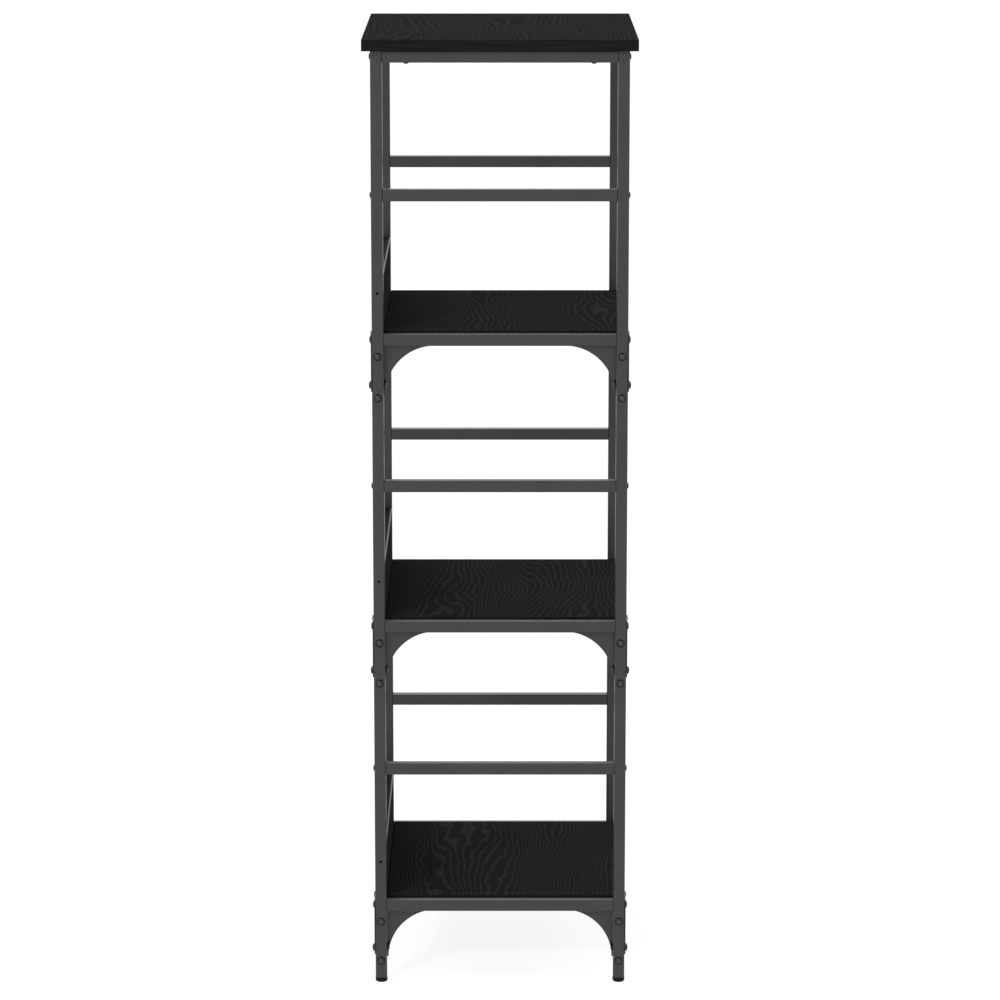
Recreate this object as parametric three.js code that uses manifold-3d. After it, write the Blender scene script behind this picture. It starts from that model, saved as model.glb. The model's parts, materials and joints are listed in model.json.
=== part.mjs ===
// Narrow open bookcase: four square-tube posts on levelling feet, three board shelves held between
// tube rails, a low board behind each shelf, a bar across each side above each shelf, and a board top.
// Millimetres, +Z up. +X is the open front and -X the back, so left is -Y and right is +Y.
// The origin lies on the floor, midway between the feet.

import * as THREE from 'three';
import { mergeVertices } from 'three/addons/utils/BufferGeometryUtils.js';
import Module from 'manifold-3d';

const wasm = await Module();
wasm.setup();

// Overall
const overallHeight = 1244.5;    // floor to the top board's upper face
const topDepth = 350;            // top board along X
const topWidth = 400;            // top board along Y
const topOverhang = 10.75;       // top board past the posts on every side
const boardThickness = 15;       // top board, shelves and back boards

// Tiers
const tierCount = 3;             // shelves under the top board
const lowestRail = 98;           // floor to the underside of the lowest shelf rails
const sideBarRise = 186;         // underside of a shelf rail to the underside of the bar above it
const backBoardRise = 76;        // top of a shelf rail to the top of its back board

// Square steel tube
const tubeSize = 15;
const tubeWall = 1.2;
const tubeRadius = 1.5;          // outer corners
const boreRadius = 0.3;          // inner corners

// Arched gussets, welded under both ends of a side rail
const gussetReach = 66;          // along the rail, and down beside the post
const gussetTip = 1.5;           // what is left of its width at the ends of the arch
const gussetThickness = 1.5;
const archSteps = 28;             // straight pieces that make up an arch
const gussetSetback = 0.7;       // from the tube's inner face

// Corner plates, bolted over the posts on the front and the back
const plateThickness = 1;
const plateReach = 60;           // along the shelf rail, from the post's outer edge
const plateDrop = 75;            // from the top of the rail
const plateCorner = 3;           // radius of its outer corners

// Front rails, of angle, and the tabs welded to the front and back rails
const angleWall = 2.4;
const endTabThickness = 2;
const endTabWidth = 12;
const endTabDrop = 76;           // below the rail, down the inner face of the post
const shelfTabThickness = 2;
const shelfTabLength = 30;       // along the rail
const shelfTabReach = 20;        // under the shelf
const shelfTabInset = 75;        // from the post to the tab's middle
const shelfTabLift = 0.4;        // above the underside of the rail, clear of its rounded corner
const weldDepth = 1.1;           // how far a welded piece reaches into the tube's wall

// Bolts and screws: the holes that they pass through, and where they are
const boltHole = 6.4;
const barBoltHole = 5.4;
const screwHole = 4.4;
const plateBoltDrop = 51.6;      // below the underside of the rail
const armBoltReach = 50.6;       // from the post's outer edge
const tabBoltDrops = [14.1, 67.9];   // below the underside of the rail
const backScrewRise = 53;        // above the top of the rail
const topScrewInset = 30;        // from the end of a top rail
const holeSides = 6;

// Levelling feet and the threaded plugs that they screw into
const footHeight = 6.4;
const footLip = 0.4;             // the foot's rim past the tube's face
const footEdge = 2.2;            // rounding of the foot's lower edge
const stemDiameter = 8;
const stemLength = 16;
const plugHeight = 18;
const plugFit = 0.3;             // round the plug, and round the stem
const footSides = 20;

const gap = 0.3;                 // between pieces that touch
const shelfFit = 0.5;            // round a board that lies between rails

// Worked out
const postX = topDepth / 2 - topOverhang - tubeSize / 2;
const postY = topWidth / 2 - topOverhang - tubeSize / 2;
const clearDepth = 2 * postX - tubeSize;     // between the front and back posts
const clearWidth = 2 * postY - tubeSize;     // between the left and right posts
const postBottom = footHeight + gap;
const postTop = overallHeight - boardThickness - gap;
const tierPitch = (postTop - lowestRail) / tierCount;
const railHeights = Array.from({ length: tierCount }, (_, tier) => lowestRail + tier * tierPitch);
const topRailHeight = postTop - tubeSize;

const ends = [-1, 1];
const sides = [['left', -1], ['right', 1]];
const faces = [['back', -1], ['front', 1]];

const finishes = {
  metal: { color: 0x4a4a4b, roughness: 0.5, metalness: 0.4 },
  board: { color: 0x232324, roughness: 0.55, metalness: 0 },
  plastic: { color: 0x161617, roughness: 0.6, metalness: 0 },
};

const bookcase = new THREE.Group();

// Adds a named piece, with a material of its own, at a place in the bookcase.
function place(name, geometry, finish, x, y, z) {
  const piece = new THREE.Mesh(geometry, new THREE.MeshStandardMaterial(finishes[finish]));
  piece.name = name;
  piece.position.set(x, y, z);
  bookcase.add(piece);
}

// A closed geometry as a solid that can be joined and cut.
function solidOf(geometry) {
  const bare = geometry.clone();
  bare.deleteAttribute('normal');
  bare.deleteAttribute('uv');
  const merged = mergeVertices(bare);
  const mesh = new wasm.Mesh({
    numProp: 3,
    vertProperties: merged.attributes.position.array,
    triVerts: Uint32Array.from(merged.index.array),
  });
  return new wasm.Manifold(mesh);
}

function geometryOf(solid) {
  const mesh = solid.getMesh();
  const geometry = new THREE.BufferGeometry();
  geometry.setAttribute('position', new THREE.BufferAttribute(mesh.vertProperties, 3));
  geometry.setIndex(new THREE.BufferAttribute(mesh.triVerts, 1));
  geometry.computeVertexNormals();
  return geometry;
}

function join(geometries) {
  return geometryOf(geometries.map(solidOf).reduce((whole, solid) => whole.add(solid)));
}

function cut(geometry, cutters) {
  return geometryOf(cutters.map(solidOf).reduce((rest, solid) => rest.subtract(solid), solidOf(geometry)));
}

// Points on an arc of an ellipse, both ends included.
function arc(x, y, radiusX, radiusY, from, to, steps) {
  return Array.from({ length: steps + 1 }, (_, i) => {
    const angle = from + (to - from) * i / steps;
    return new THREE.Vector2(x + radiusX * Math.cos(angle), y + radiusY * Math.sin(angle));
  });
}

function roundedSquare(side, radius, steps) {
  const middle = side / 2 - radius;
  const corners = [[1, 1], [-1, 1], [-1, -1], [1, -1]];
  return corners.flatMap(([x, y], quarter) => {
    const from = quarter * Math.PI / 2;
    return arc(x * middle, y * middle, radius, radius, from, from + Math.PI / 2, steps);
  });
}

// An outline drawn in X and Y, made solid from z = 0 up.
function extrude(points, depth, hole) {
  const shape = new THREE.Shape(points);
  if (hole) {
    shape.holes.push(new THREE.Path(hole));
  }
  return new THREE.ExtrudeGeometry(shape, { depth, bevelEnabled: false });
}

// Turns a geometry that runs along Z to run along X or Y.
const turn = {
  x: (geometry) => geometry.rotateY(Math.PI / 2),
  y: (geometry) => geometry.rotateX(-Math.PI / 2),
  z: (geometry) => geometry,
};

// Square tube, open at both ends, centred on the origin.
function tube(axis, length) {
  const outer = roundedSquare(tubeSize, tubeRadius, 3);
  const inner = roundedSquare(tubeSize - 2 * tubeWall, boreRadius, 1);
  return turn[axis](extrude(outer, length, inner).translate(0, 0, -length / 2));
}

function box(sizeX, sizeY, sizeZ, x, y, z) {
  return new THREE.BoxGeometry(sizeX, sizeY, sizeZ).translate(x, y, z);
}

// The cylinder that a drill takes out along an axis, through both walls of a tube.
function drill(axis, diameter, x, y, z) {
  const length = 2 * tubeSize;
  const cylinder = new THREE.CylinderGeometry(diameter / 2, diameter / 2, length, holeSides);
  return turn[axis](cylinder.rotateX(Math.PI / 2)).translate(x, y, z);
}

// Posts: tube with the holes of its bolts. Heights are from the floor.
function post(isBack) {
  const middle = (postTop + postBottom) / 2;
  const cutters = [drill('x', barBoltHole, 0, 0, topRailHeight + tubeSize / 2)];
  for (const rail of railHeights) {
    cutters.push(drill('x', boltHole, 0, 0, rail + tubeSize / 2));
    cutters.push(drill('x', boltHole, 0, 0, rail - plateBoltDrop));
    cutters.push(drill('x', barBoltHole, 0, 0, rail + sideBarRise + tubeSize / 2));
    for (const drop of tabBoltDrops) {
      cutters.push(drill('y', boltHole, 0, 0, rail - drop));
    }
    if (isBack) {
      cutters.push(drill('y', screwHole, 0, 0, rail + tubeSize + backScrewRise));
    }
  }
  return cut(tube('z', postTop - postBottom).translate(0, 0, middle), cutters);
}

// Side rail: tube along X with an arched gusset welded under each end. side is -1 on the left and 1 on
// the right, because the gussets stand near the tube's inner face.
function sideRail(side) {
  const length = clearDepth - 2 * gap;
  const arch = arc(gussetReach, -gussetReach, gussetReach - gussetTip, gussetReach - gussetTip,
    Math.PI / 2, Math.PI, archSteps);
  const outline = [
    new THREE.Vector2(0, weldDepth),
    new THREE.Vector2(gussetReach, weldDepth),
    ...arch,
    new THREE.Vector2(0, -gussetReach),
  ];
  const gusset = extrude(outline, gussetThickness).translate(0, 0, -gussetThickness / 2);
  gusset.rotateX(Math.PI / 2);
  const y = -side * (tubeSize / 2 - gussetSetback - gussetThickness / 2);
  return join([
    tube('x', length),
    gusset.clone().translate(-length / 2, y, -tubeSize / 2),
    gusset.rotateZ(Math.PI).translate(length / 2, y, -tubeSize / 2),
  ]);
}

// The two walls of an angle along Y: one under the shelf and one in front of it.
function angle(length) {
  const offset = (tubeSize - angleWall) / 2;
  return [
    box(tubeSize, length, angleWall, 0, 0, -offset),
    box(angleWall, length, tubeSize, offset, 0, 0),
  ];
}

// Front or back shelf rail: angle or tube along Y, a tab down the post at each end, and two tabs under
// the shelf. face is 1 at the front and -1 at the back.
function shelfRail(face) {
  const length = clearWidth - 2 * gap;
  const underside = -tubeSize / 2;
  const pieces = face === 1 ? angle(length) : [tube('y', length)];
  const cutters = [];
  for (const end of ends) {
    cutters.push(drill('x', boltHole, 0, end * (postY + tubeSize / 2 - armBoltReach), 0));
    const endTabY = end * (length - endTabThickness) / 2;
    const endTabZ = underside + weldDepth - endTabDrop / 2;
    pieces.push(box(endTabWidth, endTabThickness, endTabDrop, 0, endTabY, endTabZ));
    for (const drop of tabBoltDrops) {
      cutters.push(drill('y', boltHole, 0, end * length / 2, underside - drop));
    }
    const shelfTabX = -face * (tubeSize + shelfTabReach) / 2;
    const shelfTabY = end * (clearWidth / 2 - shelfTabInset);
    const shelfTabZ = underside + shelfTabLift + shelfTabThickness / 2;
    const shelfTab = box(shelfTabReach, shelfTabLength, shelfTabThickness, 0, shelfTabY, shelfTabZ);
    pieces.push(shelfTab.translate(shelfTabX + face * tubeWall, 0, 0));
    cutters.push(drill('z', screwHole, shelfTabX, shelfTabY, shelfTabZ));
  }
  return cut(join(pieces), cutters);
}

// Top rail: tube with two screw holes up into the top board.
function topRail(axis, length) {
  const cutters = ends.map((end) => {
    const along = end * (length / 2 - topScrewInset);
    return drill('z', screwHole, axis === 'x' ? along : 0, axis === 'y' ? along : 0, 0);
  });
  return cut(tube(axis, length), cutters);
}

// Corner plate: an L with an arch between its arms. Its outer corner is at the origin, its upper edge
// runs inwards along Y and it hangs down. side is -1 on the left and 1 on the right.
function cornerPlate(side) {
  const outline = [
    ...arc(plateCorner, -plateCorner, plateCorner, plateCorner, Math.PI, Math.PI / 2, 3),
    ...arc(plateReach - plateCorner, -plateCorner, plateCorner, plateCorner, Math.PI / 2, 0, 3),
    ...arc(plateReach, -plateDrop, plateReach - tubeSize, plateDrop - tubeSize, Math.PI / 2, Math.PI,
      archSteps),
    ...arc(plateCorner, plateCorner - plateDrop, plateCorner, plateCorner, 1.5 * Math.PI, Math.PI, 3),
  ];
  const plate = extrude(outline, plateThickness).translate(0, 0, -plateThickness / 2);
  plate.rotateX(Math.PI / 2).rotateZ(-side * Math.PI / 2);
  const inwards = -side;
  return cut(plate, [
    drill('x', boltHole, 0, inwards * tubeSize / 2, -tubeSize / 2),
    drill('x', boltHole, 0, inwards * armBoltReach, -tubeSize / 2),
    drill('x', boltHole, 0, inwards * tubeSize / 2, -tubeSize - plateBoltDrop),
  ]);
}

// Levelling foot: a round glide with a stem that screws up into the plug.
function foot() {
  const rim = tubeSize / 2 + footLip;
  const stem = stemDiameter / 2;
  const profile = [
    new THREE.Vector2(0, 0),
    ...arc(rim - footEdge, footEdge, footEdge, footEdge, -Math.PI / 2, 0, 4),
    new THREE.Vector2(rim, footHeight),
    new THREE.Vector2(stem, footHeight),
    new THREE.Vector2(stem, footHeight + stemLength),
    new THREE.Vector2(0, footHeight + stemLength),
  ];
  return new THREE.LatheGeometry(profile, footSides).rotateX(Math.PI / 2);
}

// Plug in the lower end of a post, with the bore that the foot's stem screws into.
function footPlug() {
  const side = tubeSize - 2 * tubeWall - 2 * plugFit;
  const radius = stemDiameter / 2 + plugFit;
  const bore = arc(0, 0, radius, radius, 0, 2 * Math.PI, footSides).slice(1);
  return extrude(roundedSquare(side, boreRadius, 1), plugHeight, bore);
}

// Posts, each on its foot
const footGeometry = foot();
const plugGeometry = footPlug();
for (const [face, faceSign] of faces) {
  const postGeometry = post(face === 'back');
  for (const [side, sideSign] of sides) {
    const x = faceSign * postX;
    const y = sideSign * postY;
    place(`post_${face}_${side}`, postGeometry, 'metal', x, y, 0);
    place(`foot_plug_${face}_${side}`, plugGeometry, 'plastic', x, y, postBottom);
    place(`levelling_foot_${face}_${side}`, footGeometry, 'plastic', x, y, 0);
  }
}

// What is the same on every tier
const barGeometry = tube('x', clearDepth - 2 * gap);
const shelfBack = shelfFit - clearDepth / 2;
const shelfFront = postX + tubeSize / 2 - angleWall - shelfFit;
const shelfMiddle = (shelfBack + shelfFront) / 2;
const shelfWidth = clearWidth - 2 * shelfFit;
const shelfGeometry = box(shelfFront - shelfBack, shelfWidth, boardThickness, 0, 0, 0);
const backBoardGeometry = box(tubeSize, shelfWidth, backBoardRise - gap, 0, 0, 0);
const shelfSeat = shelfTabLift + shelfTabThickness + gap;     // rail's underside to shelf's underside

railHeights.forEach((rail, index) => {
  const tier = index + 1;
  const railMiddle = rail + tubeSize / 2;
  const shelfHeight = rail + shelfSeat + boardThickness / 2;
  place(`shelf_${tier}`, shelfGeometry, 'board', shelfMiddle, 0, shelfHeight);
  const backBoardMiddle = rail + tubeSize + (backBoardRise + gap) / 2;
  place(`back_board_${tier}`, backBoardGeometry, 'board', -postX, 0, backBoardMiddle);
  for (const [face, faceSign] of faces) {
    place(`${face}_rail_${tier}`, shelfRail(faceSign), 'metal', faceSign * postX, 0, railMiddle);
    const plateX = faceSign * (postX + tubeSize / 2 + gap + plateThickness / 2);
    for (const [side, sideSign] of sides) {
      const plateY = sideSign * (postY + tubeSize / 2);
      place(`corner_plate_${face}_${side}_${tier}`, cornerPlate(sideSign), 'metal', plateX, plateY,
        rail + tubeSize);
    }
  }
  for (const [side, sideSign] of sides) {
    place(`side_rail_${side}_${tier}`, sideRail(sideSign), 'metal', 0, sideSign * postY, railMiddle);
    place(`side_bar_${side}_${tier}`, barGeometry, 'metal', 0, sideSign * postY, railMiddle + sideBarRise);
  }
});

// Top frame and top board
const topRailMiddle = topRailHeight + tubeSize / 2;
for (const [side, sideSign] of sides) {
  place(`top_rail_${side}`, topRail('x', clearDepth - 2 * gap), 'metal', 0, sideSign * postY, topRailMiddle);
}
for (const [face, faceSign] of faces) {
  place(`top_rail_${face}`, topRail('y', clearWidth - 2 * gap), 'metal', faceSign * postX, 0, topRailMiddle);
}
place('top_board', box(topDepth, topWidth, boardThickness, 0, 0, 0), 'board',
  0, 0, overallHeight - boardThickness / 2);

export default bookcase;
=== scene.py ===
import json
import math

import bmesh
import bpy
from mathutils import Euler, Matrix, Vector


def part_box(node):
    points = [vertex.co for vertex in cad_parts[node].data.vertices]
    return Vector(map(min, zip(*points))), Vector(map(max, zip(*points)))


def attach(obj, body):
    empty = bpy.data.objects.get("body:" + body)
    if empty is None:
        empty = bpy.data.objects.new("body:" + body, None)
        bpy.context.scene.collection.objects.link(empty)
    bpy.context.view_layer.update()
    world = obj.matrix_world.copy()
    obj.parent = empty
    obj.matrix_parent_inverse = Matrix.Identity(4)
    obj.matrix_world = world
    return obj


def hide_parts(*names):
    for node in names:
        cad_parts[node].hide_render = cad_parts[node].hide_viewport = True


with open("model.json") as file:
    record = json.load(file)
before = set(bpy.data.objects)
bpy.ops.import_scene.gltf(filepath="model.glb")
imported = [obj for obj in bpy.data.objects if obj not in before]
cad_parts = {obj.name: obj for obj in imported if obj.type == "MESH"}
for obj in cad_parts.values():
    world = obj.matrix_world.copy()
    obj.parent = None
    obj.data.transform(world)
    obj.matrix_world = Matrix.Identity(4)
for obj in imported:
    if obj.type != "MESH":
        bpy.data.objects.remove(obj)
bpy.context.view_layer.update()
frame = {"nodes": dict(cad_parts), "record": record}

mm = 0.001
tierNumbers = (1, 2, 3)
sideSigns = {"left": -1, "right": 1}      # along Y
faceSigns = {"back": -1, "front": 1}      # along X
noiseRange = {"From Min": 0.3, "From Max": 0.7}      # a noise texture seldom leaves this range
nodeSlots = {part["node"]: part["material_slot"] for part in frame["record"]["subparts"]}
print("frame loaded:", len(frame["nodes"]), "nodes")


def toLinear(code):
    channels = [int(code[i:i + 2], 16) / 255 for i in (0, 2, 4)]
    linear = [c / 12.92 if c <= 0.04045 else ((c + 0.055) / 1.055) ** 2.4 for c in channels]
    return (*linear, 1.0)


# adds a node; an input may be a value or another node's output
def addNode(tree, kind, inputs=None, stops=None, **settings):
    node = tree.nodes.new(kind)
    for name, value in settings.items():
        setattr(node, name, value)
    for name, value in (inputs or {}).items():
        if isinstance(value, bpy.types.NodeSocket):
            tree.links.new(value, node.inputs[name])
        else:
            node.inputs[name].default_value = value
    for element, (position, colour) in zip(node.color_ramp.elements if stops else [], stops or []):
        element.position = position
        element.color = colour
    return node


# mapping scales that make a pattern this long and wide, in mm
def perLength(along, across):
    return (1 / (along * mm), 1 / (across * mm), 1)


def startMaterial(name):
    material = bpy.data.materials.new(name)
    material.use_nodes = True
    material.node_tree.nodes.clear()
    return material, material.node_tree


# the camera stands to the side of the bookcase, above the top board, and looks down at it
camera = {
    "distance": 5.25,           # from the bookcase's middle, along -Y
    "height": 1.69,
    "pitch": 11.6,              # degrees below level
    "lens": 144.2,
}


def makeCamera():
    data = bpy.data.cameras.new("sideView")
    data.lens = camera["lens"]
    data.sensor_width = 36
    viewpoint = bpy.data.objects.new("sideView", data)
    viewpoint.location = (0, -camera["distance"], camera["height"])
    viewpoint.rotation_euler = Euler((math.radians(90 - camera["pitch"]), 0, 0))
    bpy.context.scene.collection.objects.link(viewpoint)
    bpy.context.scene.camera = viewpoint


# soft studio: white all round, a soft box on each side and behind, a small key lamp that puts a
# glint on the bolt heads, and a grey floor that glows nearly white, so that shadows stay faint
studio = {
    "floorSize": 90,
    "floorColour": "707070",
    "floorGlow": 0.86,
    "worldColour": "FFFFFF",
    "worldStrength": 1.08,
    "lamps": {
        "left": {"place": (-5.2, -1.0, 4.0), "aim": (0, 0, 0.6), "size": 3.5, "watts": 90},
        "right": {"place": (5.2, -1.0, 4.0), "aim": (0, 0, 0.6), "size": 3.5, "watts": 100},
        "behind": {"place": (0.4, 5.0, 5.0), "aim": (0, 0, 0.6), "size": 3.5, "watts": 40},
        "key": {"place": (-2.6, -4.6, 3.2), "aim": (0, 0, 0.6), "size": 0.7, "watts": 160},
    },
}


def makeStudio():
    world = bpy.data.worlds.new("studio")
    world.use_nodes = True
    sky = world.node_tree.nodes["Background"].inputs
    sky["Color"].default_value = toLinear(studio["worldColour"])
    sky["Strength"].default_value = studio["worldStrength"]
    bpy.context.scene.world = world
    for name, lamp in studio["lamps"].items():
        data = bpy.data.lights.new(name, "AREA")
        data.shape = "SQUARE"
        data.size = lamp["size"]
        data.energy = lamp["watts"]
        light = bpy.data.objects.new(name, data)
        light.location = lamp["place"]
        light.visible_camera = False
        towards = Vector(lamp["aim"]) - Vector(lamp["place"])
        light.rotation_euler = towards.to_track_quat("-Z", "Y").to_euler()
        bpy.context.scene.collection.objects.link(light)
    half = studio["floorSize"] / 2
    corners = [(-half, -half, 0), (half, -half, 0), (half, half, 0), (-half, half, 0)]
    mesh = bpy.data.meshes.new("floor")
    mesh.from_pydata(corners, [], [(0, 1, 2, 3)])
    floor = bpy.data.objects.new("floor", mesh)
    bpy.context.scene.collection.objects.link(floor)
    material, tree = startMaterial("pale studio floor")
    shader = addNode(tree, "ShaderNodeBsdfPrincipled", {
        "Base Color": toLinear(studio["floorColour"]), "Roughness": 0.9, "Specular IOR Level": 0.0,
        "Emission Color": toLinear(studio["worldColour"]),
        "Emission Strength": studio["floorGlow"]})
    addNode(tree, "ShaderNodeOutputMaterial", {"Surface": shader.outputs["BSDF"]})
    mesh.materials.append(material)
    bpy.context.scene.view_settings.view_transform = "Standard"


makeCamera()
makeStudio()
print("camera, lights and floor made")


# Mild steel tube and sheet, powder coated in satin anthracite black: an even film with a fine
# orange peel, so its highlights are soft and a little broken up.
powderCoat = {
    "colour": "1E1E1F",
    "cloudColour": "222223",
    "cloudSize": 45,            # mm across a patch that took more powder
    "cloudStops": (0.35, 0.65),      # the noise at which such a patch begins and is full
    "roughness": 0.32,
    "roughnessSpread": 0.05,
    "peelSize": 1.4,            # mm from ripple to ripple, real size
    "peelHeight": 0.03,         # mm
    "grainSize": 0.35,          # mm, single grains of powder
}


def makePowderCoat():
    material, tree = startMaterial("satin black powder coat on steel")
    place = addNode(tree, "ShaderNodeTexCoord").outputs["Object"]
    cloud = addNode(tree, "ShaderNodeTexNoise", {
        "Vector": place, "Scale": 1 / (powderCoat["cloudSize"] * mm), "Detail": 3.0})
    begins, full = powderCoat["cloudStops"]
    colour = addNode(tree, "ShaderNodeValToRGB", {"Fac": cloud.outputs["Fac"]}, stops=[
        (begins, toLinear(powderCoat["colour"])), (full, toLinear(powderCoat["cloudColour"]))])
    peel = addNode(tree, "ShaderNodeTexNoise", {
        "Vector": place, "Scale": 1 / (powderCoat["peelSize"] * mm), "Detail": 1.0})
    grain = addNode(tree, "ShaderNodeTexNoise", {
        "Vector": place, "Scale": 1 / (powderCoat["grainSize"] * mm), "Detail": 0.0})
    rough = addNode(tree, "ShaderNodeMapRange", {
        **noiseRange, "Value": grain.outputs["Fac"],
        "To Min": powderCoat["roughness"] - powderCoat["roughnessSpread"],
        "To Max": powderCoat["roughness"] + powderCoat["roughnessSpread"]})
    bump = addNode(tree, "ShaderNodeBump", {
        "Height": peel.outputs["Fac"], "Strength": 0.5, "Distance": powderCoat["peelHeight"] * mm})
    shader = addNode(tree, "ShaderNodeBsdfPrincipled", {
        "Base Color": colour.outputs["Color"], "Roughness": rough.outputs["Result"],
        "IOR": 1.5, "Normal": bump.outputs["Normal"]})
    addNode(tree, "ShaderNodeOutputMaterial", {"Surface": shader.outputs["BSDF"]})
    return material


# Particle board with a melamine foil printed and pressed as black oak: dull black, with faint paler
# growth rings that close into long loops, and short embossed pores along the grain.
blackOak = {
    "colour": "181818",
    "ringColour": "252525",
    "ringStart": 0.1,           # height on the ring wave, -1 to 1, above which a ring is printed
    "fullPrint": 0.6,           # share of the print at which a ring has all of its colour
    "roughness": 1.0,
    "specular": 0.008,
    "ringSpacing": 6.5,         # mm between the growth rings where no loop crowds them
    "loopLength": 380,          # mm, how long the loops are
    "loopWidth": 130,
    "loopRings": 25.0,          # how many rings a loop takes in
    "waverLength": 34,          # mm from bend to bend of a ring's waver
    "waverWidth": 16,
    "waverRings": 0.6,          # rings that the waver moves
    "poreLength": 7,
    "poreWidth": 1.1,           # mm, coarser than real pores so that they show
    "poreDepth": 0.05,
}


def makeBlackOak():
    material, tree = startMaterial("black oak melamine foil")
    grain = addNode(tree, "ShaderNodeUVMap", uv_map="grain").outputs["UV"]
    across = addNode(tree, "ShaderNodeSeparateXYZ", {"Vector": grain}).outputs["Y"]
    loopPlace = addNode(tree, "ShaderNodeMapping", {
        "Vector": grain, "Scale": perLength(blackOak["loopLength"], blackOak["loopWidth"])})
    loops = addNode(tree, "ShaderNodeTexNoise", {
        "Vector": loopPlace.outputs["Vector"], "Scale": 1.0, "Detail": 2.0, "Roughness": 0.3})
    waverPlace = addNode(tree, "ShaderNodeMapping", {
        "Vector": grain, "Scale": perLength(blackOak["waverLength"], blackOak["waverWidth"])})
    waver = addNode(tree, "ShaderNodeTexNoise", {
        "Vector": waverPlace.outputs["Vector"], "Scale": 1.0, "Detail": 1.5, "Roughness": 0.4})
    straight = addNode(tree, "ShaderNodeMath", {
        0: across, 1: 1 / (blackOak["ringSpacing"] * mm)}, operation="MULTIPLY")
    rings = addNode(tree, "ShaderNodeMath", {
        0: loops.outputs["Fac"], 1: blackOak["loopRings"], 2: straight.outputs["Value"]},
        operation="MULTIPLY_ADD")
    wavered = addNode(tree, "ShaderNodeMath", {
        0: waver.outputs["Fac"], 1: 2 * blackOak["waverRings"], 2: rings.outputs["Value"]},
        operation="MULTIPLY_ADD")
    turns = addNode(tree, "ShaderNodeMath", {0: wavered.outputs["Value"], 1: 2 * math.pi},
                    operation="MULTIPLY")
    wave = addNode(tree, "ShaderNodeMath", {0: turns.outputs["Value"]}, operation="SINE")
    porePlace = addNode(tree, "ShaderNodeMapping", {
        "Vector": grain, "Scale": perLength(blackOak["poreLength"], blackOak["poreWidth"])})
    pores = addNode(tree, "ShaderNodeTexNoise", {
        "Vector": porePlace.outputs["Vector"], "Scale": 1.0, "Detail": 2.0, "Roughness": 0.6})
    line = addNode(tree, "ShaderNodeMapRange", {
        "Value": wave.outputs["Value"], "From Min": blackOak["ringStart"], "From Max": 1.0})
    printed = addNode(tree, "ShaderNodeMath", {
        0: line.outputs["Result"], 1: pores.outputs["Fac"]}, operation="MULTIPLY")
    colour = addNode(tree, "ShaderNodeValToRGB", {"Fac": printed.outputs["Value"]}, stops=[
        (0.0, toLinear(blackOak["colour"])),
        (blackOak["fullPrint"], toLinear(blackOak["ringColour"]))])
    bump = addNode(tree, "ShaderNodeBump", {
        "Height": pores.outputs["Fac"], "Strength": 0.6, "Distance": blackOak["poreDepth"] * mm})
    shader = addNode(tree, "ShaderNodeBsdfPrincipled", {
        "Base Color": colour.outputs["Color"], "Roughness": blackOak["roughness"],
        "IOR": 1.5, "Specular IOR Level": blackOak["specular"], "Normal": bump.outputs["Normal"]})
    addNode(tree, "ShaderNodeOutputMaterial", {"Surface": shader.outputs["BSDF"]})
    return material


# ABS edge band, extruded and embossed with long fibres, ironed on round the board: a touch smoother
# and blacker than the foil, with fine streaks along the edge.
edgeBand = {
    "colour": "0F0F0F",
    "streakColour": "1B1B1B",
    "streakStops": (0.38, 0.68),     # the noise at which a streak begins and is full
    "roughness": 0.6,
    "specular": 0.02,
    "streakLength": 120,        # mm
    "streakWidth": 1.6,
    "streakDepth": 0.05,
}


def makeEdgeBand():
    material, tree = startMaterial("black ABS edge band")
    grain = addNode(tree, "ShaderNodeUVMap", uv_map="grain").outputs["UV"]
    streakPlace = addNode(tree, "ShaderNodeMapping", {
        "Vector": grain, "Scale": perLength(edgeBand["streakLength"], edgeBand["streakWidth"])})
    streaks = addNode(tree, "ShaderNodeTexNoise", {
        "Vector": streakPlace.outputs["Vector"], "Scale": 1.0, "Detail": 3.0, "Roughness": 0.6})
    begins, full = edgeBand["streakStops"]
    colour = addNode(tree, "ShaderNodeValToRGB", {"Fac": streaks.outputs["Fac"]}, stops=[
        (begins, toLinear(edgeBand["colour"])), (full, toLinear(edgeBand["streakColour"]))])
    bump = addNode(tree, "ShaderNodeBump", {
        "Height": streaks.outputs["Fac"], "Strength": 0.6,
        "Distance": edgeBand["streakDepth"] * mm})
    shader = addNode(tree, "ShaderNodeBsdfPrincipled", {
        "Base Color": colour.outputs["Color"], "Roughness": edgeBand["roughness"],
        "IOR": 1.5, "Specular IOR Level": edgeBand["specular"], "Normal": bump.outputs["Normal"]})
    addNode(tree, "ShaderNodeOutputMaterial", {"Surface": shader.outputs["BSDF"]})
    return material


# The same foil where it is folded over a board's edge: stretched smooth in the press, so it shines.
foilFold = {
    "colour": "161616",
    "roughness": 0.4,
    "rubSize": 17,              # mm across a place that the packing rubbed
    "smoothest": 0.05,          # how far the roughness goes down in such a place, and up beside it
    "roughest": 0.07,
}


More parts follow.
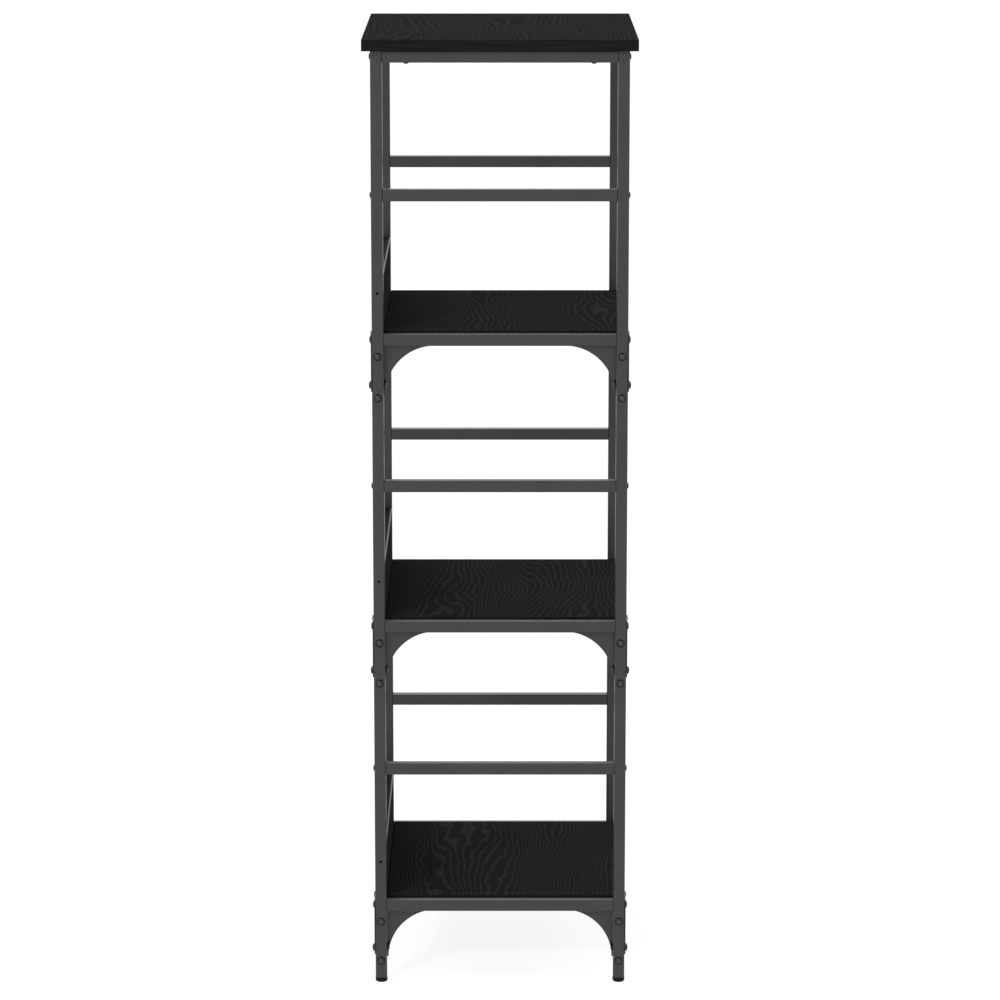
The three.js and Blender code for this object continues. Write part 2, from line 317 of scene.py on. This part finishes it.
def makeFoilFold():
    material, tree = startMaterial("black oak foil, folded edge")
    grain = addNode(tree, "ShaderNodeUVMap", uv_map="grain").outputs["UV"]
    rubs = addNode(tree, "ShaderNodeTexNoise", {
        "Vector": grain, "Scale": 1 / (foilFold["rubSize"] * mm), "Detail": 3.0})
    rough = addNode(tree, "ShaderNodeMapRange", {
        **noiseRange, "Value": rubs.outputs["Fac"],
        "To Min": foilFold["roughness"] - foilFold["smoothest"],
        "To Max": foilFold["roughness"] + foilFold["roughest"]})
    shader = addNode(tree, "ShaderNodeBsdfPrincipled", {
        "Base Color": toLinear(foilFold["colour"]), "Roughness": rough.outputs["Result"],
        "IOR": 1.5})
    addNode(tree, "ShaderNodeOutputMaterial", {"Surface": shader.outputs["BSDF"]})
    return material


# Nylon 6, injection moulded in black: matt, with the fine spark-eroded texture of its mould.
nylon = {
    "colour": "0B0B0C",
    "specular": 0.1,
    "roughness": 0.6,
    "roughnessSpread": 0.08,
    "sparkSize": 0.5,           # mm between the pits of the texture
    "sparkHeight": 0.03,
}


def makeNylon():
    material, tree = startMaterial("black moulded nylon")
    place = addNode(tree, "ShaderNodeTexCoord").outputs["Object"]
    spark = addNode(tree, "ShaderNodeTexNoise", {
        "Vector": place, "Scale": 1 / (nylon["sparkSize"] * mm), "Detail": 2.0})
    rough = addNode(tree, "ShaderNodeMapRange", {
        **noiseRange, "Value": spark.outputs["Fac"],
        "To Min": nylon["roughness"] - nylon["roughnessSpread"],
        "To Max": nylon["roughness"] + nylon["roughnessSpread"]})
    bump = addNode(tree, "ShaderNodeBump", {
        "Height": spark.outputs["Fac"], "Strength": 0.5, "Distance": nylon["sparkHeight"] * mm})
    shader = addNode(tree, "ShaderNodeBsdfPrincipled", {
        "Base Color": toLinear(nylon["colour"]), "Roughness": rough.outputs["Result"],
        "IOR": 1.53, "Specular IOR Level": nylon["specular"], "Normal": bump.outputs["Normal"]})
    addNode(tree, "ShaderNodeOutputMaterial", {"Surface": shader.outputs["BSDF"]})
    return material


# Steel bolts, nuts and screws, blackened in hot oxide and oiled: dull and dark, with a painted
# sheen that makes the crown paler and leaves the rim dark as painted shade. The attribute crown is
# 0 on the axis and 1 at the rim.
blackOxide = {
    "colour": "0C0C0C",
    "rubColour": "363637",
    "rubEnd": 0.6,              # share of the radius where the painted sheen stops
    "rubFade": 0.2,             # share of the radius over which it fades out
    "unevenness": 0.3,          # how far the clouds shift that edge
    "specular": 0.22,
    "roughness": 0.3,
    "roughnessSpread": 0.06,
    "cloudSize": 2.5,           # mm
}


def makeBlackOxide():
    material, tree = startMaterial("black oxide on steel")
    place = addNode(tree, "ShaderNodeTexCoord").outputs["Object"]
    cloud = addNode(tree, "ShaderNodeTexNoise", {
        "Vector": place, "Scale": 1 / (blackOxide["cloudSize"] * mm), "Detail": 3.0})
    crown = addNode(tree, "ShaderNodeAttribute", attribute_name="crown")
    uneven = addNode(tree, "ShaderNodeMath", {
        0: cloud.outputs["Fac"], 1: blackOxide["unevenness"], 2: crown.outputs["Fac"]},
        operation="MULTIPLY_ADD")
    # painted sheen: the crown is painted paler and the rim is left dark, standing in for
    # reflections on the domed heads
    colour = addNode(tree, "ShaderNodeValToRGB", {"Fac": uneven.outputs["Value"]}, stops=[
        (blackOxide["rubEnd"], toLinear(blackOxide["rubColour"])),
        (blackOxide["rubEnd"] + blackOxide["rubFade"], toLinear(blackOxide["colour"]))])
    rough = addNode(tree, "ShaderNodeMapRange", {
        **noiseRange, "Value": cloud.outputs["Fac"],
        "To Min": blackOxide["roughness"] - blackOxide["roughnessSpread"],
        "To Max": blackOxide["roughness"] + blackOxide["roughnessSpread"]})
    shader = addNode(tree, "ShaderNodeBsdfPrincipled", {
        "Base Color": colour.outputs["Color"], "Roughness": rough.outputs["Result"],
        "IOR": 1.5, "Specular IOR Level": blackOxide["specular"]})
    addNode(tree, "ShaderNodeOutputMaterial", {"Surface": shader.outputs["BSDF"]})
    return material


coat = makePowderCoat()
foil = makeBlackOak()
band = makeEdgeBand()
fold = makeFoilFold()
plastic = makeNylon()
oxide = makeBlackOxide()
print("materials made")


def camelName(node):
    first, *rest = node.split("_")
    return first + "".join(word.capitalize() for word in rest)


def addPiece(name, mesh, body):
    piece = bpy.data.objects.new(name, mesh)
    bpy.context.scene.collection.objects.link(piece)
    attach(piece, body)
    return piece


# Tubes, rails and plates: the solid's own shape with its flat faces made whole, and every sawn,
# drilled and pressed edge rounded by the coating.
steelwork = {
    "closing": 0.25,            # mm, how far a rail's ends and a plate's back come up to the posts
    "edgeRound": 0.2,           # mm
    "edgeSegments": 2,
    "roundAngle": 50,           # degrees, edges sharper than this are rounded
    "mergeGap": 0.1,            # mm, points nearer than this are one
    "flatAngle": 1,             # degrees, faces that meet flatter than this are one
    "endDepth": 0.02,           # mm, how near a point is to an end to belong to it
}


# the axis that a rail runs along: its ends move out along it, so that its joints show no light
def railAxis(node):
    if node.startswith(("side_rail", "side_bar", "top_rail_left", "top_rail_right")):
        return 0
    if node.startswith(("front_rail", "back_rail", "top_rail_front", "top_rail_back")):
        return 1
    return None


def closeJoints(work, node):
    low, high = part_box(node)
    step = steelwork["closing"] * mm
    near = steelwork["endDepth"] * mm
    axis = railAxis(node)
    for vert in work.verts:
        if axis is not None and vert.co[axis] < low[axis] + near:
            vert.co[axis] -= step
        elif axis is not None and vert.co[axis] > high[axis] - near:
            vert.co[axis] += step
        elif node.startswith("corner_plate_front") and vert.co.x < low.x + near:
            vert.co.x -= step
        elif node.startswith("corner_plate_back") and vert.co.x > high.x - near:
            vert.co.x += step


def addSteelwork():
    for node, slot in nodeSlots.items():
        if slot != "black_metal":
            continue
        work = bmesh.new()
        work.from_mesh(frame["nodes"][node].data)
        bmesh.ops.remove_doubles(work, verts=work.verts, dist=steelwork["mergeGap"] * mm)
        closeJoints(work, node)
        bmesh.ops.dissolve_limit(work, angle_limit=math.radians(steelwork["flatAngle"]),
                                 verts=work.verts, edges=work.edges)
        mesh = bpy.data.meshes.new(camelName(node))
        work.to_mesh(mesh)
        work.free()
        mesh.materials.append(coat)
        mesh.shade_smooth()
        piece = addPiece(mesh.name, mesh, "frame")
        bevel = piece.modifiers.new("coated edges", "BEVEL")
        bevel.width = steelwork["edgeRound"] * mm
        bevel.segments = steelwork["edgeSegments"]
        bevel.limit_method = "ANGLE"
        bevel.angle_limit = math.radians(steelwork["roundAngle"])
        bevel.use_clamp_overlap = True
        weighted = piece.modifiers.new("flat faces stay flat", "WEIGHTED_NORMAL")
        weighted.mode = "FACE_AREA"
        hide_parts(node)


addSteelwork()
print("steelwork made")


# Boards: foil on both faces, edge band all round, edges eased. The grain runs along Y on every
# board.
boards = {
    "edgeRound": 0.9,           # mm
    "foldRound": 1.6,           # the same on a back board, where the foil is folded over the edge
    "edgeSegments": 3,
    "flatEnough": 0.999,        # a face whose normal is further off its axis is part of an edge
    "top_board": {"faceAxis": 2, "grainStart": (0.31, 0.12)},
    "shelf_1": {"faceAxis": 2, "grainStart": (1.57, 0.83)},
    "shelf_2": {"faceAxis": 2, "grainStart": (3.12, 1.74)},
    "shelf_3": {"faceAxis": 2, "grainStart": (4.85, 2.41)},
    "back_board_1": {"faceAxis": 0, "grainStart": (6.23, 3.37)},
    "back_board_2": {"faceAxis": 0, "grainStart": (7.64, 4.09)},
    "back_board_3": {"faceAxis": 0, "grainStart": (9.02, 4.96)},
}


def addBoard(node):
    finishes = (foil, band, fold)
    low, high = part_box(node)
    work = bmesh.new()
    bmesh.ops.create_cube(work, size=1.0)
    for vert in work.verts:
        vert.co = Vector([low[i] if vert.co[i] < 0 else high[i] for i in range(3)])
    isBackBoard = boards[node]["faceAxis"] == 0
    edgeRound = boards["foldRound"] if isBackBoard else boards["edgeRound"]
    bmesh.ops.bevel(work, geom=work.edges[:], offset=edgeRound * mm,
                    segments=boards["edgeSegments"], profile=0.5, affect="EDGES")
    grain = work.loops.layers.uv.new("grain")
    startAlong, startAcross = boards[node]["grainStart"]
    for face in work.faces:
        facing = max(range(3), key=lambda i: abs(face.normal[i]))
        alongAxis = 0 if facing == 1 else 1
        acrossAxis = 0 if facing == 2 else 2
        finish = foil if facing == boards[node]["faceAxis"] else band
        if isBackBoard and abs(face.normal[facing]) < boards["flatEnough"]:
            finish = fold
        face.material_index = finishes.index(finish)
        face.smooth = True
        for loop in face.loops:
            place = loop.vert.co
            loop[grain].uv = (place[alongAxis] + startAlong, place[acrossAxis] + startAcross)
    mesh = bpy.data.meshes.new(camelName(node))
    work.to_mesh(mesh)
    work.free()
    for material in finishes:
        mesh.materials.append(material)
    piece = addPiece(mesh.name, mesh, "frame")
    weighted = piece.modifiers.new("flat faces stay flat", "WEIGHTED_NORMAL")
    weighted.mode = "FACE_AREA"
    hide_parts(node)


for boardNode in [name for name in boards if name in frame["nodes"]]:
    addBoard(boardNode)
print("boards made")


# Levelling feet: a moulded glide with an eased rim, and a threaded stem pressed into it
foot = {
    "glideEdge": 2.2,           # mm, rounding under the rim
    "topEase": 0.5,
    "easeMiddle": 0.3,          # share of the ease where its one middle point is
    "stemWidth": 8,
    "threadPitch": 1.25,
    "threadDepth": 0.55,
    "tip": 0.8,                 # width of the stem's end, as a share of the stem's
    "turns": 40,                # faces round the glide
    "edgeSteps": 8,             # faces across its rounding
    "plugGap": 0.3,             # mm, between the glide and the plug
    "creaseAngle": 35,          # degrees, edges sharper than this look sharp
}


def addFoot(face, side):
    finishes = (plastic, oxide)
    node = f"levelling_foot_{face}_{side}"
    low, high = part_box(node)
    centre = (low + high) / 2
    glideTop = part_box(f"foot_plug_{face}_{side}")[0].z - foot["plugGap"] * mm
    rim = (high.x - low.x) / 2
    stem = foot["stemWidth"] / 2 * mm
    root = stem - foot["threadDepth"] * mm
    edge = foot["glideEdge"] * mm
    ease = foot["topEase"] * mm
    pitch = foot["threadPitch"] * mm
    profile = [(0, low.z), (rim - edge, low.z)]
    for step in range(1, foot["edgeSteps"] + 1):
        angle = step / foot["edgeSteps"] * math.pi / 2
        profile.append((rim - edge + edge * math.sin(angle), low.z + edge - edge * math.cos(angle)))
    middle = ease * foot["easeMiddle"]
    profile += [(rim, glideTop - ease), (rim - middle, glideTop - middle), (rim - ease, glideTop)]
    glidePoints = len(profile)
    ridges = int((high.z - glideTop) / pitch)
    for ridge in range(ridges):
        height = glideTop + ridge * pitch
        profile += [(root, height), (stem, height + pitch / 2)]
    profile += [(root, glideTop + ridges * pitch), (stem * foot["tip"], high.z), (0, high.z)]
    work = bmesh.new()
    rings = []
    for radius, height in profile:
        count = foot["turns"] if radius > 0 else 1
        spokes = [2 * math.pi * i / foot["turns"] for i in range(count)]
        rings.append([work.verts.new((centre.x + radius * math.cos(spoke),
                                      centre.y + radius * math.sin(spoke), height))
                      for spoke in spokes])
    for index, (below, above) in enumerate(zip(rings, rings[1:])):
        for i in range(foot["turns"]):
            j = (i + 1) % foot["turns"]
            corners = [below[i % len(below)], below[j % len(below)],
                       above[j % len(above)], above[i % len(above)]]
            facet = work.faces.new(list(dict.fromkeys(corners)))
            facet.material_index = finishes.index(plastic if index < glidePoints else oxide)
            facet.smooth = True
    bmesh.ops.recalc_face_normals(work, faces=work.faces)
    mesh = bpy.data.meshes.new(camelName(node))
    work.to_mesh(mesh)
    work.free()
    for material in finishes:
        mesh.materials.append(material)
    mesh.set_sharp_from_angle(angle=math.radians(foot["creaseAngle"]))
    piece = addPiece(mesh.name, mesh, f"foot_{face}_{side}")
    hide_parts(node)


for footFace in faceSigns:
    for footSide in sideSigns:
        addFoot(footFace, footSide)
        plug = frame["nodes"][f"foot_plug_{footFace}_{footSide}"].data
        plug.materials.clear()
        plug.materials.append(plastic)
print("feet made")


creaseAngle = 38      # degrees, edges of a bolt, nut or screw sharper than this look sharp


# one tree makes every bolt head, nut and screw head: a turned blank with a domed top and a recess,
# set on each point and turned to the point's axis
def buildFastenerTree():
    tree = bpy.data.node_groups.new("fastener on each point", "GeometryNodeTree")
    sockets = {
        "Geometry": "Geometry", "Sides": "Int", "Width": "Float", "Height": "Float", "Rim": "Float",
        "Recess": "Bool", "Recess Sides": "Int", "Recess Width": "Float", "Recess Depth": "Float",
        "Turn": "Float", "Seed": "Int", "Finish": "Material",
    }
    for name, kind in sockets.items():
        tree.interface.new_socket(name, in_out="INPUT", socket_type="NodeSocket" + kind)
    tree.interface.new_socket("Geometry", in_out="OUTPUT", socket_type="NodeSocketGeometry")
    given = addNode(tree, "NodeGroupInput").outputs

    radius = addNode(tree, "ShaderNodeMath", {
        0: given["Width"], 1: 0.5}, operation="MULTIPLY").outputs["Value"]
    halfRim = addNode(tree, "ShaderNodeMath", {
        0: given["Rim"], 1: 0.5}, operation="MULTIPLY").outputs["Value"]
    blank = addNode(tree, "GeometryNodeMeshCylinder", {
        "Vertices": given["Sides"], "Side Segments": 1, "Fill Segments": 5,
        "Radius": radius, "Depth": given["Rim"]}, fill_type="TRIANGLE_FAN")
    lift = addNode(tree, "ShaderNodeCombineXYZ", {"Z": halfRim})
    seated = addNode(tree, "GeometryNodeTransform", {
        "Geometry": blank.outputs["Mesh"], "Translation": lift.outputs["Vector"]})

    place = addNode(tree, "GeometryNodeInputPosition").outputs["Position"]
    flat = addNode(tree, "ShaderNodeVectorMath", {0: place, 1: (1, 1, 0)}, operation="MULTIPLY")
    reach = addNode(tree, "ShaderNodeVectorMath", {0: flat.outputs["Vector"]}, operation="LENGTH")
    share = addNode(tree, "ShaderNodeMath", {
        0: reach.outputs["Value"], 1: radius}, operation="DIVIDE").outputs["Value"]
    squared = addNode(tree, "ShaderNodeMath", {0: share, 1: share}, operation="MULTIPLY")
    left = addNode(tree, "ShaderNodeMath", {
        0: 1.0, 1: squared.outputs["Value"]}, operation="SUBTRACT", use_clamp=True)
    swell = addNode(tree, "ShaderNodeMath", {0: left.outputs["Value"], 1: 0.5}, operation="POWER")
    crown = addNode(tree, "ShaderNodeMath", {
        0: given["Height"], 1: given["Rim"]}, operation="SUBTRACT")
    rise = addNode(tree, "ShaderNodeMath", {
        0: swell.outputs["Value"], 1: crown.outputs["Value"]}, operation="MULTIPLY")
    riseVector = addNode(tree, "ShaderNodeCombineXYZ", {"Z": rise.outputs["Value"]})
    domed = addNode(tree, "GeometryNodeSetPosition", {
        "Geometry": seated.outputs["Geometry"], "Selection": blank.outputs["Top"],
        "Offset": riseVector.outputs["Vector"]})

    recessRadius = addNode(tree, "ShaderNodeMath", {
        0: given["Recess Width"], 1: 0.5}, operation="MULTIPLY")
    recessLength = addNode(tree, "ShaderNodeMath", {
        0: given["Recess Depth"], 1: 2.0}, operation="MULTIPLY")
    cutter = addNode(tree, "GeometryNodeMeshCylinder", {
        "Vertices": given["Recess Sides"], "Side Segments": 1, "Fill Segments": 1,
        "Radius": recessRadius.outputs["Value"], "Depth": recessLength.outputs["Value"]},
        fill_type="NGON")
    top = addNode(tree, "ShaderNodeCombineXYZ", {"Z": given["Height"]})
    cutterPlace = addNode(tree, "GeometryNodeTransform", {
        "Geometry": cutter.outputs["Mesh"], "Translation": top.outputs["Vector"]})
    recessed = addNode(tree, "GeometryNodeMeshBoolean", {
        "Mesh 1": domed.outputs["Geometry"], "Mesh 2": cutterPlace.outputs["Geometry"]},
        operation="DIFFERENCE", solver="EXACT")

    head = addNode(tree, "GeometryNodeSwitch", {
        "Switch": given["Recess"], "False": domed.outputs["Geometry"],
        "True": recessed.outputs["Mesh"]}, input_type="GEOMETRY")
    marked = addNode(tree, "GeometryNodeStoreNamedAttribute", {
        "Geometry": head.outputs["Output"], "Name": "crown", "Value": share},
        data_type="FLOAT", domain="POINT")

    smooth = addNode(tree, "GeometryNodeSetShadeSmooth", {
        "Geometry": marked.outputs["Geometry"], "Shade Smooth": True}, domain="FACE")
    edgeAngle = addNode(tree, "GeometryNodeInputMeshEdgeAngle").outputs["Unsigned Angle"]
    sharp = addNode(tree, "ShaderNodeMath", {
        0: edgeAngle, 1: math.radians(creaseAngle)}, operation="GREATER_THAN")
    creased = addNode(tree, "GeometryNodeSetShadeSmooth", {
        "Geometry": smooth.outputs["Geometry"], "Selection": sharp.outputs["Value"],
        "Shade Smooth": False}, domain="EDGE")

    axis = addNode(tree, "GeometryNodeInputNamedAttribute", {"Name": "axis"},
                   data_type="FLOAT_VECTOR")
    aligned = addNode(tree, "FunctionNodeAlignRotationToVector", {
        "Vector": axis.outputs["Attribute"]}, axis="Z")
    spin = addNode(tree, "FunctionNodeRandomValue", {
        2: 0.0, 3: given["Turn"], "Seed": given["Seed"]}, data_type="FLOAT")
    spinVector = addNode(tree, "ShaderNodeCombineXYZ", {"Z": spin.outputs[1]})
    spinTurn = addNode(tree, "FunctionNodeEulerToRotation", {"Euler": spinVector.outputs["Vector"]})
    turned = addNode(tree, "FunctionNodeRotateRotation", {
        "Rotation": aligned.outputs["Rotation"], "Rotate By": spinTurn.outputs["Rotation"]},
        rotation_space="LOCAL")
    placed = addNode(tree, "GeometryNodeInstanceOnPoints", {
        "Points": given["Geometry"], "Instance": creased.outputs["Geometry"],
        "Rotation": turned.outputs["Rotation"]})
    real = addNode(tree, "GeometryNodeRealizeInstances", {"Geometry": placed.outputs["Instances"]})
    finished = addNode(tree, "GeometryNodeSetMaterial", {
        "Geometry": real.outputs["Geometry"], "Material": given["Finish"]})
    addNode(tree, "NodeGroupOutput", {"Geometry": finished.outputs["Geometry"]})
    return tree


fastenerTree = buildFastenerTree()

anyTurn = 6.28      # radians, how far a head may stand turned

# sizes in mm. Carriage bolts have plain domed heads, without a recess, and their nuts are inside.
fasteners = {
    "plateBolts": {"Sides": 40, "Width": 10.0, "Height": 2.1, "Rim": 0.4, "Turn": anyTurn},
    "postBolts": {"Sides": 40, "Width": 10.8, "Height": 3.0, "Rim": 0.4, "Turn": anyTurn},
    "barBolts": {"Sides": 32, "Width": 8.2, "Height": 1.9, "Rim": 0.4, "Turn": anyTurn},
    "nuts": {"Sides": 6, "Width": 11.0, "Height": 2.6, "Rim": 2.4, "Recess": True,
             "Recess Sides": 20, "Recess Width": 6.0, "Recess Depth": 0.5, "Turn": 0.0},
    "boltEnds": {"Sides": 20, "Width": 5.7, "Height": 3.4, "Rim": 3.1, "Turn": 0.0},
    "boardScrews": {"Sides": 24, "Width": 7.2, "Height": 2.0, "Rim": 0.5, "Recess": True,
                    "Recess Sides": 4, "Recess Width": 3.6, "Recess Depth": 1.0, "Turn": anyTurn},
    "shelfScrews": {"Sides": 24, "Width": 7.0, "Height": 1.8, "Rim": 0.4, "Recess": True,
                    "Recess Sides": 4, "Recess Width": 3.4, "Recess Depth": 0.9, "Turn": anyTurn},
    "backBoardScrews": {"Sides": 20, "Width": 3.9, "Height": 0.9, "Rim": 0.3, "Recess": True,
                        "Recess Sides": 4, "Recess Width": 2.0, "Recess Depth": 0.5,
                        "Turn": anyTurn},
}
lengthSockets = ("Width", "Height", "Rim", "Recess Width", "Recess Depth")


def addFasteners(name, places, seed):
    cloud = bpy.data.meshes.new(name + "Places")
    cloud.from_pydata([place for place, _ in places], [], [])
    axes = cloud.attributes.new("axis", "FLOAT_VECTOR", "POINT")
    for entry, (_, direction) in zip(axes.data, places):
        entry.vector = direction
    holder = bpy.data.objects.new(name + "Places", cloud)
    bpy.context.scene.collection.objects.link(holder)
    modifier = holder.modifiers.new("fasteners", "NODES")
    modifier.node_group = fastenerTree
    values = {**fasteners[name], "Seed": seed, "Finish": oxide}
    for socket in fastenerTree.interface.items_tree:
        if socket.in_out == "INPUT" and socket.name in values:
            value = values[socket.name]
            modifier[socket.identifier] = value * mm if socket.name in lengthSockets else value
    bpy.context.view_layer.update()
    evaluated = holder.evaluated_get(bpy.context.evaluated_depsgraph_get())
    mesh = bpy.data.meshes.new_from_object(evaluated)
    mesh.name = name
    bpy.data.objects.remove(holder)
    addPiece(name, mesh, "frame")


# where the bolts, nuts and screws are, in mm
boltPlaces = {
    "plateBoltDrop": 51.6,      # underside of a rail to the plate's lower bolt
    "armBoltReach": 50.6,       # post's outer edge to the bolt in the plate's arm
    "tabBoltDrops": (14.1, 67.9),
    "endTabThickness": 2.0,     # the tab that a rail's end has down the inside of the post
    "backScrewRise": 53.0,      # top of a rail to the back board's screw
    "backScrewSunk": 3.2,
    "topScrewInset": 30.0,      # end of a top rail to its screw
    "shelfTabLift": 0.4,        # underside of a rail to the underside of its shelf tabs
    "shelfTabInset": 75.0,      # post's inner face to a shelf tab's middle
    "shelfTabReach": 20.0,      # how far a shelf tab goes in under the shelf
}


# the bolts, nuts and screws at one corner of the frame: list to go on, place and outward axis
def cornerFasteners(face, side):
    faceSign, sideSign = faceSigns[face], sideSigns[side]
    outwards, inwards = (faceSign, 0, 0), (-faceSign, 0, 0)
    sidewards, back, down = (0, sideSign, 0), (0, -sideSign, 0), (0, 0, -1)
    postLow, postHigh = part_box(f"post_{face}_{side}")
    post = (postLow + postHigh) / 2
    half = (postHigh.x - postLow.x) / 2
    outerX, innerX = post.x + faceSign * half, post.x - faceSign * half
    outerY, innerY = post.y + sideSign * half, post.y - sideSign * half
    for tier in tierNumbers:
        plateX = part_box(f"corner_plate_{face}_{side}_{tier}")[faceSign > 0].x
        armY = outerY - sideSign * boltPlaces["armBoltReach"] * mm
        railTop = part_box(f"side_rail_{side}_{tier}")[1].z
        underside = railTop - 2 * half
        lower = underside - boltPlaces["plateBoltDrop"] * mm
        yield "plateBolts", (plateX, post.y, railTop - half), outwards
        yield "plateBolts", (plateX, armY, railTop - half), outwards
        yield "postBolts", (plateX, post.y, lower), outwards
        yield "nuts", (innerX, post.y, lower), inwards
        yield "boltEnds", (innerX, post.y, lower), inwards
        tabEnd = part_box(f"{face}_rail_{tier}")[sideSign > 0].y
        tabY = tabEnd - sideSign * boltPlaces["endTabThickness"] * mm
        for drop in boltPlaces["tabBoltDrops"]:
            height = underside - drop * mm
            yield "postBolts", (post.x, outerY, height), sidewards
            yield "nuts", (post.x, tabY, height), back
            yield "boltEnds", (post.x, tabY, height), back
        barLow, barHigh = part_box(f"side_bar_{side}_{tier}")
        yield "barBolts", (outerX, post.y, (barLow.z + barHigh.z) / 2), outwards
        shelfTabX = innerX - faceSign * boltPlaces["shelfTabReach"] / 2 * mm
        shelfTabY = innerY - sideSign * boltPlaces["shelfTabInset"] * mm
        shelfTabZ = underside + boltPlaces["shelfTabLift"] * mm
        yield "shelfScrews", (shelfTabX, shelfTabY, shelfTabZ), down
        if face == "back":
            screwY = outerY - sideSign * boltPlaces["backScrewSunk"] * mm
            screwZ = railTop + boltPlaces["backScrewRise"] * mm
            yield "backBoardScrews", (post.x, screwY, screwZ), sidewards
    topLow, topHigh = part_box(f"top_rail_{side}")
    yield "barBolts", (outerX, post.y, (topLow.z + topHigh.z) / 2), outwards
    inset = boltPlaces["topScrewInset"] * mm
    sideEnd = (topLow, topHigh)[faceSign > 0].x
    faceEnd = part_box(f"top_rail_{face}")[sideSign > 0].y
    yield "boardScrews", (sideEnd - faceSign * inset, post.y, topLow.z), down
    yield "boardScrews", (post.x, faceEnd - sideSign * inset, topLow.z), down


def addAllFasteners():
    found = {name: [] for name in fasteners}
    for face in faceSigns:
        for side in sideSigns:
            for name, place, direction in cornerFasteners(face, side):
                found[name].append((place, direction))
    for seed, (name, places) in enumerate(found.items()):
        addFasteners(name, places, seed)


addAllFasteners()
print("bolts, nuts and screws made")
